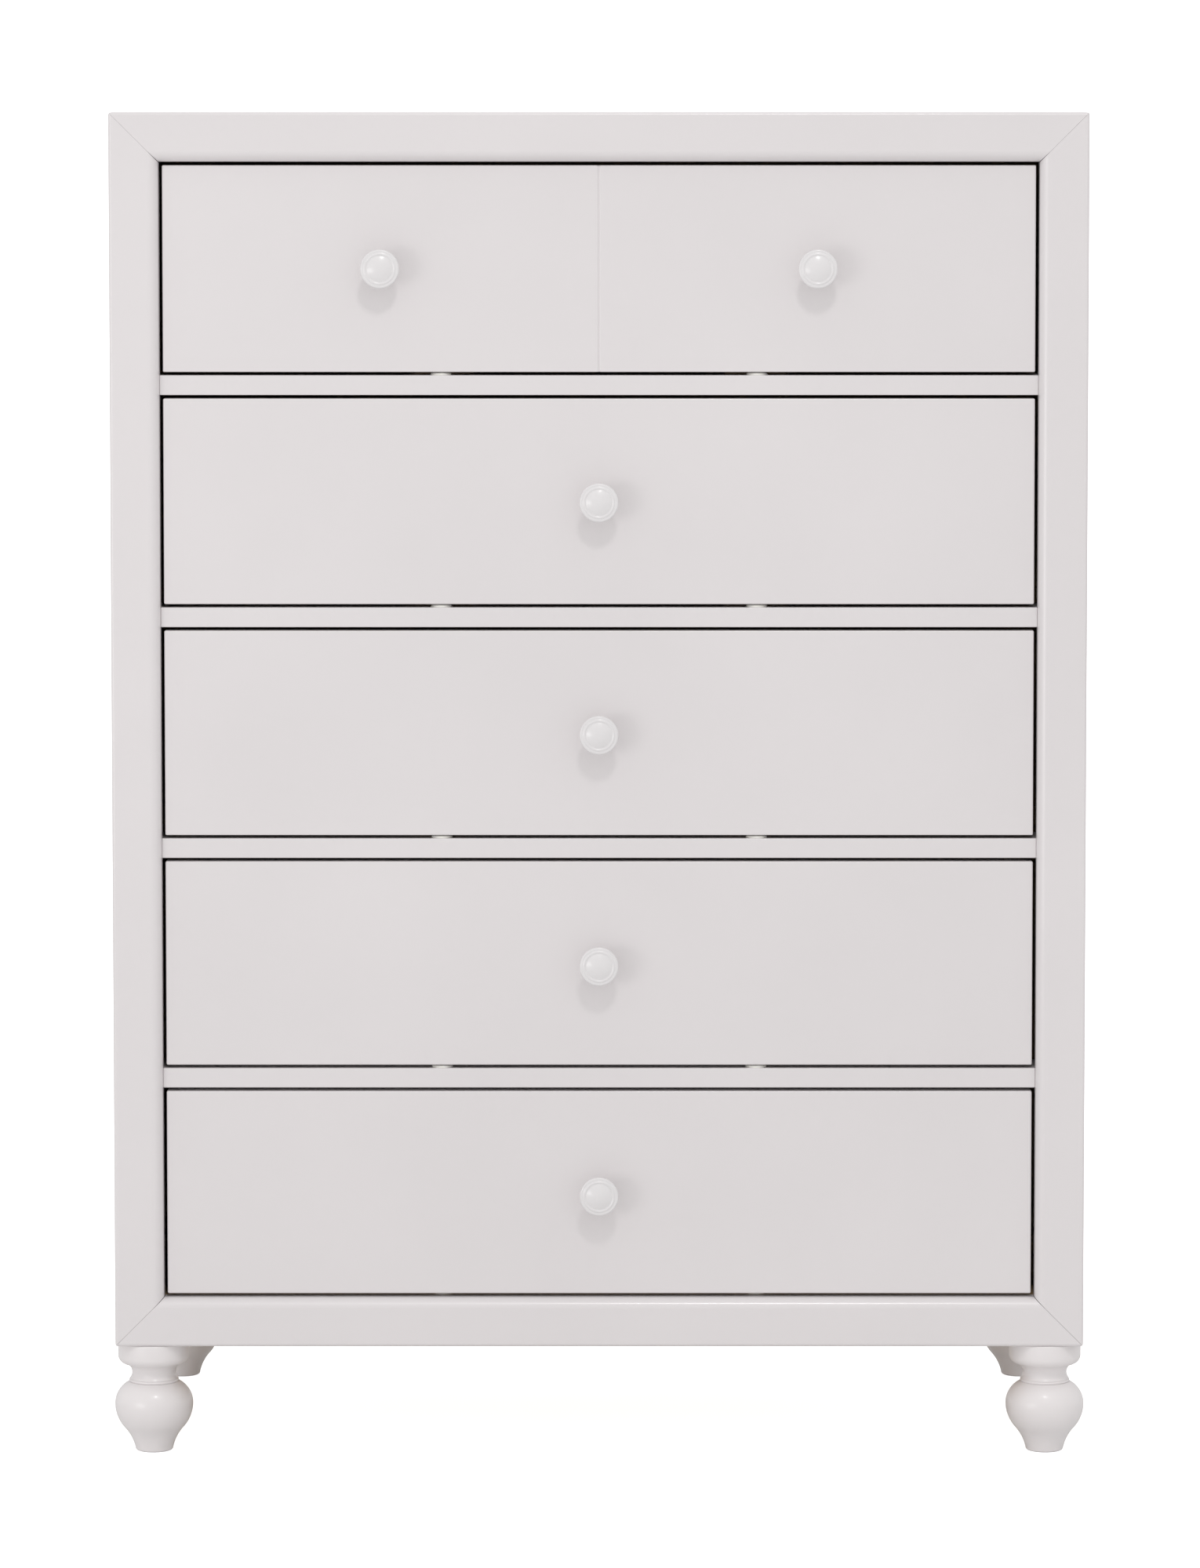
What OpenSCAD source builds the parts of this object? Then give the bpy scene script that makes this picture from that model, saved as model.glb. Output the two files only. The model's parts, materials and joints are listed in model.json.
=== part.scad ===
// Tall chest of drawers: a case with a mitred picture-frame front, full-width inset drawers
// that ride on wooden tracks, round turned knobs and four turned feet.
// Millimetres, +Z up. The origin is on the floor under the middle of the bounding box,
// and the drawers open towards -Y.

/* [Overall] */
// width of the case
case_w = 914; // [700:1:1200]
// depth of the case from the frame's face to the back
case_d = 432; // [340:1:560]
// height of the whole chest on its feet
total_h = 1267; // [1000:1:1600]
// number of drawers, one above another
drawer_count = 5; // [2:1:5]

/* [Front frame] */
// face width of each frame member
frame_w = 46; // [30:1:70]
// thickness of the frame members
frame_t = 22; // [18:1:30]
// radius of the frame's outer arris
frame_edge_r = 3; // [1:0.5:6]
// radius of the quarter-round on the frame's inner edge, which sets how far the fronts lie back
bead_r = 10; // [4:0.5:14]

/* [Case panels] */
// thickness of the side panels
side_t = 16; // [12:1:22]
// thickness of the top panel
top_t = 18; // [15:1:25]
// thickness of the bottom panel
bottom_t = 18; // [15:1:22]
// thickness of the back panel
back_t = 6; // [4:1:9]
// how far the back panel laps on the sides and top
back_lap = 8; // [5:1:11]
// rounding of the case's outer edges behind the frame
case_edge_r = 2; // [1:0.5:4]

/* [Rails and tracks] */
// height of the rails between the drawers
rail_h = 18.5; // [16:0.5:30]
// depth of the rails from front to back
rail_d = 60; // [45:1:90]
// depth of the cross rails at the back of the case
rear_rail_d = 40; // [30:1:60]
// depth of the grooves in the sides that hold the rails
housing = 6; // [4:0.5:8]
// slack in grooves and notches that are glued up
glue_gap = 0.2; // [0.1:0.05:0.5]
// distance of each drawer track from the middle
track_x = 148; // [80:1:250]
// width of the groove's two side walls
track_wall = 14; // [10:1:20]
// thickness of the track under its groove
track_base = 10; // [8:1:14]
// depth of the groove in the track
track_groove = 7; // [5:0.5:9]
// how far the track lies over the rail in front of it
track_lap = 15; // [10:1:25]

/* [Nylon glides] */
// diameter of a glide's head
glide_d = 20; // [12:1:26]
// height of a glide above the rail
glide_h = 2.7; // [2:0.1:4]
// distance of the glide's middle behind the rail's face
glide_back = 11; // [8:0.5:20]
// diameter of the tack that holds a glide
tack_d = 2; // [1.5:0.1:3]
// length of the tack below the head
tack_l = 10; // [8:1:14]

/* [Drawers] */
// thickness of the drawer fronts
front_t = 19; // [16:0.5:22]
// gap at each side of a drawer front
side_gap = 3.2; // [2:0.1:5]
// gap above a drawer front
top_gap = 3.2; // [2:0.1:5]
// space left between a sliding wooden face and what it runs over
run_gap = 0.3; // [0.3:0.05:1]
// rounding of the front's arrises
front_edge_r = 1.5; // [0.5:0.25:3]
// width of the groove down the middle of the top drawer front
vee_w = 3; // [2:0.25:6]
// depth of that groove
vee_depth = 1; // [1:0.25:4]
// thickness of the sides and back of a drawer box
box_t = 12; // [10:0.5:16]
// thickness of a drawer's bottom
floor_t = 6; // [4:0.5:8]
// how far the box is set in from each end of its front
box_inset = 3; // [0:0.5:10]
// how far the top of a drawer box is below the top of its front
box_drop = 40; // [15:1:80]
// height of a drawer's bottom above the lower edge of its sides
floor_rise = 10; // [8:0.5:14]
// height of the box sides above the lower edge of the front
box_rise = 0.5; // [0.5:0.5:3]
// depth of the grooves that hold the drawer's parts together
groove = 6; // [4:0.5:7]
// free space behind a drawer box when it is closed
rear_space = 14; // [8:1:40]
// distance from the back of a drawer's sides to its back board
tail = 10; // [6:1:20]
// width of the runner bars under a drawer
bar_w = 30; // [20:1:40]
// side play of a runner bar in its track
bar_play = 0.5; // [0.3:0.1:1.5]

/* [Knobs] */
// diameter of the knob at its round rim
knob_d = 36.5; // [32:0.5:45]
// how far a knob stands out from its drawer front
knob_l = 29; // [26:0.5:36]
// diameter of the shallow dome on the knob's face
knob_dome_d = 25; // [20:0.5:26]
// radius to which the dome is turned
knob_dome_r = 29; // [24:1:60]
// diameter of the knob's neck
knob_neck_d = 14; // [11:0.5:16]
// diameter of the knob's foot on the drawer front
knob_foot_d = 20; // [18:0.5:24]

/* [Feet] */
// height of the turned feet
foot_h = 105; // [92:1:140]
// radius of the flat cap under the case
foot_cap_r = 34; // [32:0.5:42]
// radius of the bun at its widest
foot_bun_r = 37; // [36:0.5:46]
// height of the case above the middle of the bun
foot_bun_drop = 60; // [58:1:66]
// radius of the foot at the top of its neck ring
foot_ring_r = 23.5; // [22.5:0.5:25]

/* [Fasteners] */
// diameter of the wood screws' shanks
screw_d = 3.5; // [3:0.1:4.5]
// diameter of the wood screws' countersunk heads
screw_head_d = 7; // [6:0.1:9]
// diameter of the knob bolts
knob_bolt_d = 4; // [3:0.5:5]
// diameter of the threaded bolts that hold the feet
foot_bolt_d = 8; // [6:1:10]
// space round a screw or bolt in its hole
screw_gap = 0.15; // [0.1:0.05:0.4]

/* [Hidden] */
$fn = 96;
case_h = total_h - foot_h;
opening_w = case_w - 2 * frame_w;
opening_h = (case_h - 2 * frame_w - (drawer_count - 1) * rail_h) / drawer_count;
pitch = opening_h + rail_h;
inner_w = case_w - 2 * side_t;
knob_proud = knob_l - bead_r;
foot_overhang = max(foot_bun_r - foot_cap_r, 0);
front_y = -(case_d + foot_overhang - knob_proud) / 2;
back_y = front_y + case_d;
face_y = front_y + bead_r;
panel_y = front_y + frame_t;
inner_back_y = back_y - back_t;
rail_back_y = face_y + rail_d;

bottom_gap = glide_h + run_gap;
front_w = opening_w - 2 * side_gap;
front_h = opening_h - top_gap - bottom_gap;
box_w = front_w - 2 * box_inset;
box_front_y = face_y + front_t;
box_back_y = inner_back_y - rear_space;
side_z = bottom_gap + box_rise;
side_h = front_h - box_drop - box_rise;
floor_z = side_z + floor_rise;
bar_h = floor_z - bottom_gap;
track_w = bar_w + 2 * bar_play + 2 * track_wall;
track_z = glide_h - track_base;
rear_rail_top = track_z - glue_gap;
board_y = box_back_y - tail - box_t;
floor_back_y = box_back_y - tail;
knob_quarter = front_w / 4;

floor_screw_x = (box_w / 2 + track_x) / 2;
floor_screw_l = 20;
bar_screw_l = 28;
track_screw_l = 20;
back_screw_l = 16;
knob_bolt_l = front_t + 14;
foot_bolt_sunk = 40;
tee_nut_d = foot_bolt_d + 3;
tee_flange_d = foot_bolt_d + 12;
tee_flange_t = 1.5;

case_parts = ["left_stile", "right_stile", "top_frame_rail", "bottom_frame_rail",
    "left_side_panel", "right_side_panel", "top_panel", "bottom_panel", "back_panel",
    "divider_rails", "bottom_drawer_rail", "rear_rails", "drawer_tracks", "rail_glides",
    "front_left_foot", "front_right_foot", "rear_left_foot", "rear_right_foot",
    "foot_bolts", "case_screws"];
drawer_parts = ["front", "left_side", "right_side", "back", "bottom", "knobs", "runner_bars", "screws"];

paint = [0.90, 0.89, 0.88];
birch = [0.85, 0.74, 0.58];
plywood = [0.80, 0.69, 0.52];
nylon = [0.93, 0.92, 0.88];
zinc = [0.72, 0.73, 0.75];

// Height of the surface under drawer n, counted from the top.
function shelf_z(n) = foot_h + frame_w + (drawer_count - n) * pitch;

// Places of the knobs on drawer n: two on the top drawer, one on the others.
function knob_places(n) = n == 1 ? [-knob_quarter, knob_quarter] : [0];

// Middle height of drawer n's front.
function knob_z(n) = shelf_z(n) + bottom_gap + front_h / 2;

// ---- shared shapes ----

// Points along an arc round a centre, from one angle to another.
function arc(centre, r, from, to, steps = 8) =
    [for (i = [0:steps]) centre + r * [cos(from + (to - from) * i / steps), sin(from + (to - from) * i / steps)]];

// The direction from one point to another, in degrees.
function bearing(from, to) = atan2(to[1] - from[1], to[0] - from[0]);

// What is cut from a square corner at the origin to round it to radius r.
module corner_waste(r) {
    difference() {
        translate([-1, -1])
            square(r + 1);
        translate([r, r])
            circle(r);
    }
}

// A board section from its face at y = 0, with both front corners rounded.
module eased_section(width, thickness, r) {
    difference() {
        square([width, thickness]);
        corner_waste(r);
        translate([width, 0])
            mirror([1, 0])
                corner_waste(r);
    }
}

// Turns a drawing of depth and height into a bar of that section along X.
module along_x(length) {
    rotate([90, 0, 90])
        linear_extrude(height = length)
            children();
}

// Puts the children at the same place on the left and on the right.
module both_sides() {
    children();
    mirror([1, 0, 0])
        children();
}

// A countersunk wood screw with its head's face at the origin, pointing along +Z.
module wood_screw(length) {
    cylinder(d = screw_d, h = length);
    cylinder(d1 = screw_head_d, d2 = screw_d, h = (screw_head_d - screw_d) / 2);
}

// The hole for that screw, a little wider all round and a little deeper.
module screw_hole(length) {
    translate([0, 0, -1])
        cylinder(d = screw_d + 2 * screw_gap, h = length + 2);
    cylinder(
        d1 = screw_head_d + 2 * screw_gap,
        d2 = screw_d + 2 * screw_gap,
        h = (screw_head_d - screw_d) / 2 + screw_gap / 2);
    translate([0, 0, -1])
        cylinder(d = screw_head_d + 2 * screw_gap, h = 1);
}

// ---- front frame ----

// Section of a frame member: depth along X, face width along Y from its outer edge.
module frame_section() {
    difference() {
        square([frame_t, frame_w]);
        corner_waste(frame_edge_r);
        translate([0, frame_w])
            mirror([0, 1])
                corner_waste(bead_r);
    }
}

// A frame member along +X with its outer edge on the axis, mitred at both ends.
module frame_member(length) {
    intersection() {
        along_x(length)
            frame_section();
        translate([0, frame_t + 1, 0])
            rotate([90, 0, 0])
                linear_extrude(height = frame_t + 2)
                    polygon([[0, 0], [length, 0], [length - frame_w, frame_w], [frame_w, frame_w]]);
    }
}

module right_stile() {
    color(paint)
        translate([case_w / 2, front_y, foot_h])
            rotate([0, -90, 0])
                frame_member(case_h);
}

module left_stile() {
    mirror([1, 0, 0])
        right_stile();
}

module bottom_frame_rail() {
    color(paint)
        translate([-case_w / 2, front_y, foot_h])
            frame_member(case_w);
}

module top_frame_rail() {
    color(paint)
        translate([-case_w / 2, front_y, total_h])
            mirror([0, 0, 1])
                frame_member(case_w);
}

// ---- case panels ----

// Places of the screws that hold the back panel, two a drawer on each side and clear of the
// rails' housings, pointing into the case along -Y.
module back_screw_places() {
    both_sides()
        for (n = [1:drawer_count])
            for (share = [1 / 4, 3 / 4])
                translate([case_w / 2 - side_t + back_lap / 2, back_y, shelf_z(n) + share * opening_h])
                    rotate([90, 0, 0])
                        children();
}

// Grooves in the right side panel for the rails, from the panel's inner face.
module side_housings() {
    for (n = [1:drawer_count]) {
        translate([inner_w / 2 - 1, panel_y - 1, shelf_z(n) - rail_h - glue_gap])
            cube([housing + 1, rail_back_y - panel_y + 1 + glue_gap, rail_h + 2 * glue_gap]);
        translate([inner_w / 2 - 1, inner_back_y - rear_rail_d - glue_gap,
            shelf_z(n) + rear_rail_top - rail_h - glue_gap])
            cube([housing + 1, rear_rail_d + glue_gap + back_t + 1, rail_h + 2 * glue_gap]);
    }
}

module right_side_panel() {
    color(paint)
        difference() {
            translate([case_w / 2, panel_y, foot_h])
                mirror([1, 0, 0])
                    linear_extrude(height = case_h - top_t)
                        difference() {
                            square([side_t, case_d - frame_t]);
                            translate([0, case_d - frame_t])
                                mirror([0, 1])
                                    corner_waste(case_edge_r);
                        }
            translate([case_w / 2 - side_t - 1, inner_back_y, foot_h - 1])
                cube([back_lap + 1, back_t + 1, case_h]);
            side_housings();
            back_screw_places()
                screw_hole(back_screw_l);
        }
}

module left_side_panel() {
    mirror([1, 0, 0])
        right_side_panel();
}

module top_panel() {
    color(paint)
        difference() {
            intersection() {
                translate([-case_w / 2, back_y, total_h])
                    rotate([90, 0, 0])
                        linear_extrude(height = case_d - frame_t)
                            mirror([0, 1])
                                eased_section(case_w, top_t, case_edge_r);
                translate([-case_w / 2, panel_y, total_h - top_t])
                    linear_extrude(height = top_t)
                        translate([0, case_d - frame_t])
                            mirror([0, 1])
                                eased_section(case_w, case_d - frame_t, case_edge_r);
                translate([-case_w / 2, panel_y, total_h])
                    mirror([0, 0, 1])
                        along_x(case_w)
                            difference() {
                                square([case_d - frame_t, top_t]);
                                translate([case_d - frame_t, 0])
                                    mirror([1, 0])
                                        corner_waste(case_edge_r);
                            }
            }
            translate([-inner_w / 2 - back_lap, inner_back_y, total_h - top_t - 1])
                cube([inner_w + 2 * back_lap, back_t + 1, back_lap + 1]);
        }
}

module bottom_panel() {
    color(birch)
        difference() {
            translate([-inner_w / 2, panel_y, foot_h])
                cube([inner_w, inner_back_y - panel_y, bottom_t]);
            foot_places()
                translate([0, 0, -1])
                    cylinder(d = tee_nut_d + 2 * screw_gap, h = bottom_t + 2);
        }
}

module back_panel() {
    color(plywood)
        difference() {
            translate([-inner_w / 2 - back_lap + glue_gap, inner_back_y, foot_h])
                cube([inner_w + 2 * back_lap - 2 * glue_gap, back_t, case_h - top_t + back_lap - glue_gap]);
            back_screw_places()
                screw_hole(back_screw_l);
        }
}

// ---- rails, tracks and glides ----

// Places of the drawer tracks over one shelf, at the height of its surface.
module track_places() {
    for (side = [-1, 1])
        translate([side * track_x, 0, 0])
            children();
}

// Places of the two screws along one track, pointing down into its rails.
module track_screw_places() {
    for (y = [rail_back_y - track_lap / 2, inner_back_y - rear_rail_d / 2])
        translate([0, y, glide_h])
            rotate([180, 0, 0])
                children();
}

// What a front rail loses to the tracks behind it and to the tacks of its glides.
module rail_cuts() {
    track_places() {
        translate([-track_w / 2 - glue_gap, rail_back_y - track_lap - glue_gap, rear_rail_top])
            cube([track_w + 2 * glue_gap, track_lap + 1, track_base]);
        translate([0, face_y + glide_back, -tack_l - 1])
            cylinder(d = tack_d + 2 * screw_gap, h = tack_l + 2);
        track_screw_places()
            screw_hole(track_screw_l);
    }
}

// The part of a front rail behind the frame, let into both side panels.
module rail_body() {
    translate([-inner_w / 2 - housing, panel_y, -rail_h])
        cube([inner_w + 2 * housing, rail_back_y - panel_y, rail_h]);
}

module divider_rails() {
    color(paint)
        for (n = [1:drawer_count - 1])
            translate([0, 0, shelf_z(n)])
                difference() {
                    union() {
                        rail_body();
                        translate([-opening_w / 2, face_y, -rail_h])
                            cube([opening_w, rail_d / 2, rail_h]);
                    }
                    rail_cuts();
                }
}

module bottom_drawer_rail() {
    color(birch)
        translate([0, 0, shelf_z(drawer_count)])
            difference() {
                rail_body();
                translate([0, panel_y - face_y, 0])
                    track_places()
                        translate([0, face_y + glide_back, -tack_l - 1])
                            cylinder(d = tack_d + 2 * screw_gap, h = tack_l + 2);
                track_places() {
                    translate([-track_w / 2 - glue_gap, rail_back_y - track_lap - glue_gap, rear_rail_top])
                        cube([track_w + 2 * glue_gap, track_lap + 1, track_base]);
                    track_screw_places()
                        screw_hole(track_screw_l);
                }
            }
}

module rear_rails() {
    color(birch)
        for (n = [1:drawer_count])
            translate([0, 0, shelf_z(n)])
                difference() {
                    translate([-inner_w / 2 - housing, inner_back_y - rear_rail_d, rear_rail_top - rail_h])
                        cube([inner_w + 2 * housing, rear_rail_d, rail_h]);
                    track_places()
                        track_screw_places()
                            screw_hole(track_screw_l);
                }
}

// A grooved track, with the floor of its groove level with the tops of the glides.
module drawer_track() {
    difference() {
        translate([-track_w / 2, rail_back_y - track_lap, track_z])
            cube([track_w, inner_back_y - rail_back_y + track_lap, track_base + track_groove]);
        translate([-bar_w / 2 - bar_play, rail_back_y - track_lap - 1, glide_h])
            cube([bar_w + 2 * bar_play, case_d, track_groove + 1]);
        track_screw_places()
            screw_hole(track_screw_l);
    }
}

module drawer_tracks() {
    color(birch)
        for (n = [1:drawer_count])
            translate([0, 0, shelf_z(n)])
                track_places()
                    drawer_track();
}

// A low head on a thin tack. The head has a short rim, then two slopes up to a flat middle.
module glide() {
    head_r = glide_d / 2;
    rotate_extrude()
        polygon([
            [0, 0],
            [head_r, 0],
            [head_r, glide_h * 0.3],
            [head_r * 0.85, glide_h * 0.8],
            [head_r * 0.45, glide_h],
            [0, glide_h]
        ]);
    translate([0, 0, -tack_l])
        cylinder(d = tack_d, h = tack_l + glide_h / 2);
}

module rail_glides() {
    color(nylon)
        for (n = [1:drawer_count])
            translate([0, n == drawer_count ? panel_y : face_y, shelf_z(n)])
                track_places()
                    translate([0, glide_back, 0])
                        glide();
}

// ---- feet ----

// Places of the four feet, at the height of the case's underside.
module foot_places() {
    for (x = [-1, 1])
        for (y = [front_y + foot_cap_r, back_y - foot_cap_r])
            translate([x * (case_w / 2 - foot_cap_r), y, foot_h])
                children();
}

// Half of the turned outline, from the floor up: toe, hollow ankle, bun, ring, neck and cap.
module foot_outline() {
    toe_round = 2.5;
    low_r = 34;
    high_r = 23;
    ankle_r = 44;
    ring_h = 3;
    neck_r = 9;
    cap_round = 8;
    cap_ease = 1.5;

    bun_z = foot_h - foot_bun_drop;
    bun_low = [foot_bun_r - low_r, bun_z];
    bun_high = [foot_bun_r - high_r, bun_z];
    ankle_x = bun_low[0] + 57.8;
    ankle = [ankle_x, bun_z - sqrt(pow(low_r + ankle_r, 2) - pow(ankle_x - bun_low[0], 2))];
    toe_r = ankle_x - sqrt(pow(ankle_r, 2) - pow(toe_round - ankle[1], 2));
    ring_z = bun_z + high_r - 2;
    neck = [foot_ring_r + 6.3, ring_z + ring_h + neck_r - 3];
    cap_low_r = foot_cap_r - cap_round;
    cap_z = neck[1] + neck_r - 0.5;

    polygon(concat(
        [[0, 0]],
        arc([toe_r - toe_round, toe_round], toe_round, -90, 0, 4),
        arc(ankle, ankle_r, bearing(ankle, [toe_r, toe_round]) - 2, bearing(ankle, bun_low)),
        arc(bun_low, low_r, bearing(bun_low, ankle) + 2, 0),
        arc(bun_high, high_r, 4, asin(1 - 2 / high_r), 12),
        [[foot_ring_r, ring_z], [foot_ring_r, ring_z + ring_h]],
        arc(neck, neck_r, 180 + asin(1 - 3 / neck_r), acos((cap_low_r - neck[0]) / neck_r)),
        arc([cap_low_r, cap_z + cap_round], cap_round, -90, 0),
        arc([foot_cap_r - cap_ease, foot_h - cap_ease], cap_ease, 0, 90, 4),
        [[0, foot_h]]));
}

module foot() {
    difference() {
        rotate_extrude()
            foot_outline();
        translate([0, 0, foot_h - foot_bolt_sunk - 2])
            cylinder(d = foot_bolt_d + 2 * screw_gap, h = foot_bolt_sunk + 3);
    }
}

module foot_at(x, y) {
    color(paint)
        translate([x * (case_w / 2 - foot_cap_r), y, 0])
            foot();
}

module front_left_foot() {
    foot_at(-1, front_y + foot_cap_r);
}

module front_right_foot() {
    foot_at(1, front_y + foot_cap_r);
}

module rear_left_foot() {
    foot_at(-1, back_y - foot_cap_r);
}

module rear_right_foot() {
    foot_at(1, back_y - foot_cap_r);
}

// A threaded bolt sunk in each foot, held by a flanged nut let into the bottom panel from above.
module foot_bolts() {
    color(zinc)
        foot_places() {
            translate([0, 0, -foot_bolt_sunk])
                cylinder(d = foot_bolt_d, h = foot_bolt_sunk + bottom_t - 1);
            difference() {
                union() {
                    translate([0, 0, bottom_t / 3])
                        cylinder(d = tee_nut_d, h = bottom_t * 2 / 3);
                    translate([0, 0, bottom_t])
                        cylinder(d = tee_flange_d, h = tee_flange_t);
                }
                translate([0, 0, -1])
                    cylinder(d = foot_bolt_d + screw_gap, h = bottom_t + tee_flange_t + 2);
            }
        }
}

module case_screws() {
    color(zinc) {
        back_screw_places()
            wood_screw(back_screw_l);
        for (n = [1:drawer_count])
            translate([0, 0, shelf_z(n)])
                track_places()
                    track_screw_places()
                        wood_screw(track_screw_l);
    }
}

// ---- drawers ----

// The front board, with housings for the box sides and a groove for the bottom.
module drawer_front(n) {
    color(paint)
        translate([0, 0, shelf_z(n)])
            difference() {
                intersection() {
                    translate([-front_w / 2, face_y, bottom_gap])
                        linear_extrude(height = front_h)
                            eased_section(front_w, front_t, front_edge_r);
                    translate([-front_w / 2, face_y, bottom_gap])
                        along_x(front_w)
                            mirror([1, -1])
                                eased_section(front_h, front_t, front_edge_r);
                }
                both_sides()
                    translate([box_w / 2 - box_t - glue_gap, box_front_y - groove, side_z - 1])
                        cube([box_t + 2 * glue_gap, groove + 1, side_h + 1 + glue_gap]);
                translate([-box_w / 2 + box_t / 2, box_front_y - groove, floor_z - glue_gap])
                    cube([box_w - box_t, groove + 1, floor_t + 2 * glue_gap]);
                for (x = knob_places(n))
                    translate([x, face_y - 1, bottom_gap + front_h / 2])
                        rotate([-90, 0, 0])
                            cylinder(d = knob_bolt_d + 2 * screw_gap, h = front_t + 2);
                if (n == 1)
                    translate([0, face_y, 0])
                        linear_extrude(height = opening_h)
                            polygon([
                                [-vee_w / 2 - vee_w / vee_depth, -2],
                                [vee_w / 2 + vee_w / vee_depth, -2],
                                [0, vee_depth]]);
            }
}

// A side board, grooved for the bottom and for the back board.
module drawer_right_side(n) {
    color(birch)
        translate([box_w / 2 - box_t, 0, shelf_z(n)])
            difference() {
                translate([0, box_front_y - groove + glue_gap, side_z])
                    cube([box_t, box_back_y - box_front_y + groove - glue_gap, side_h]);
                translate([-1, box_front_y - groove - 1, floor_z - glue_gap])
                    cube([groove + 1, floor_back_y - box_front_y + groove + 1 + glue_gap, floor_t + 2 * glue_gap]);
                translate([-1, board_y - glue_gap, floor_z + floor_t / 2])
                    cube([groove + 1, box_t + 2 * glue_gap, side_h]);
            }
}

module drawer_left_side(n) {
    mirror([1, 0, 0])
        drawer_right_side(n);
}

// Places of the screws that go up through the bottom and the runner bars into the back board.
module floor_screw_places() {
    both_sides() {
        translate([floor_screw_x, board_y + box_t / 2, floor_z])
            children(0);
        translate([track_x, board_y + box_t / 2, bottom_gap])
            children(1);
    }
}

module floor_screw_holes() {
    floor_screw_places() {
        screw_hole(floor_screw_l);
        screw_hole(bar_screw_l);
    }
}

module drawer_back(n) {
    color(birch)
        translate([0, 0, shelf_z(n)])
            difference() {
                translate([-box_w / 2 + box_t - groove + glue_gap, board_y, floor_z + floor_t + glue_gap])
                    cube([
                        box_w - 2 * (box_t - groove + glue_gap),
                        box_t,
                        side_z + side_h - floor_z - floor_t - glue_gap]);
                floor_screw_holes();
            }
}

// The thin bottom, slid in from behind under the back board.
module drawer_bottom(n) {
    color(plywood)
        translate([0, 0, shelf_z(n)])
            difference() {
                translate([-box_w / 2 + box_t - groove + glue_gap, box_front_y - groove + glue_gap, floor_z])
                    cube([
                        box_w - 2 * (box_t - groove + glue_gap),
                        floor_back_y - box_front_y + groove - glue_gap,
                        floor_t]);
                floor_screw_holes();
            }
}

// Two bars under the bottom, which run over the glides and in the tracks.
module drawer_runner_bars(n) {
    color(birch)
        translate([0, 0, shelf_z(n)])
            difference() {
                track_places()
                    translate([-bar_w / 2, box_front_y, bottom_gap])
                        cube([bar_w, floor_back_y - box_front_y, bar_h]);
                floor_screw_holes();
            }
}

// Half of the knob's turned outline, from the drawer front outwards along +Y:
// foot, hollow neck, round rim, a smaller bead inside it and the dome.
module knob_outline() {
    foot_round = 0.8;
    hollow_r = 8;
    rim_r = 1.7;
    bead = 1.3;

    dome_base_r = knob_dome_d / 2;
    dome_edge = asin(dome_base_r / knob_dome_r);
    dome_z = knob_l - knob_dome_r * (1 - cos(dome_edge));
    rim = [knob_d / 2 - rim_r, dome_z - rim_r];
    inner_bead = [dome_base_r + bead, dome_z - bead / 2];
    hollow = [knob_neck_d / 2 + hollow_r, rim[1] - rim_r - hollow_r - 3.5];
    foot_r = knob_foot_d / 2;

    polygon(concat(
        [[0, 0]],
        arc([foot_r - foot_round, foot_round], foot_round, -90, 0, 4),
        arc(hollow, hollow_r, 180 + acos((hollow[0] - foot_r) / hollow_r), 110, 10),
        arc(rim, rim_r, -60, 120),
        arc(inner_bead, bead, 20, 150),
        arc([0, knob_l - knob_dome_r], knob_dome_r, 90 - dome_edge, 90)));
}

module knob() {
    difference() {
        rotate([90, 0, 0])
            rotate_extrude()
                knob_outline();
        translate([0, 1, 0])
            rotate([90, 0, 0])
                cylinder(d = knob_bolt_d + 2 * screw_gap, h = knob_bolt_l - front_t + 2);
    }
}

module drawer_knobs(n) {
    color(paint)
        for (x = knob_places(n))
            translate([x, face_y, knob_z(n)])
                knob();
}

// A pan-headed bolt behind each knob and the screws that hold the bottom and the bars.
module drawer_screws(n) {
    color(zinc) {
        for (x = knob_places(n))
            translate([x, box_front_y, knob_z(n)])
                rotate([90, 0, 0]) {
                    cylinder(d = knob_bolt_d, h = knob_bolt_l);
                    translate([0, 0, -knob_bolt_d / 2])
                        cylinder(d = 2 * knob_bolt_d, h = knob_bolt_d / 2);
                }
        translate([0, 0, shelf_z(n)])
            floor_screw_places() {
                wood_screw(floor_screw_l);
                wood_screw(bar_screw_l);
            }
    }
}

// ---- the parts ----

left_stile();
right_stile();
top_frame_rail();
bottom_frame_rail();
left_side_panel();
right_side_panel();
top_panel();
bottom_panel();
back_panel();
divider_rails();
bottom_drawer_rail();
rear_rails();
drawer_tracks();
rail_glides();
front_left_foot();
front_right_foot();
rear_left_foot();
rear_right_foot();
foot_bolts();
case_screws();
for (n = [1:drawer_count]) {
    drawer_front(n);
    drawer_left_side(n);
    drawer_right_side(n);
    drawer_back(n);
    drawer_bottom(n);
    drawer_knobs(n);
    drawer_runner_bars(n);
    drawer_screws(n);
}
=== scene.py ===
# Tall chest of drawers: a painted case with a mitred picture-frame front, five inset drawers
# with turned knobs that run on wooden tracks and nylon glides, and four turned feet.
# The file follows the chest as it is put together. Lengths are in metres.
import json

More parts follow.
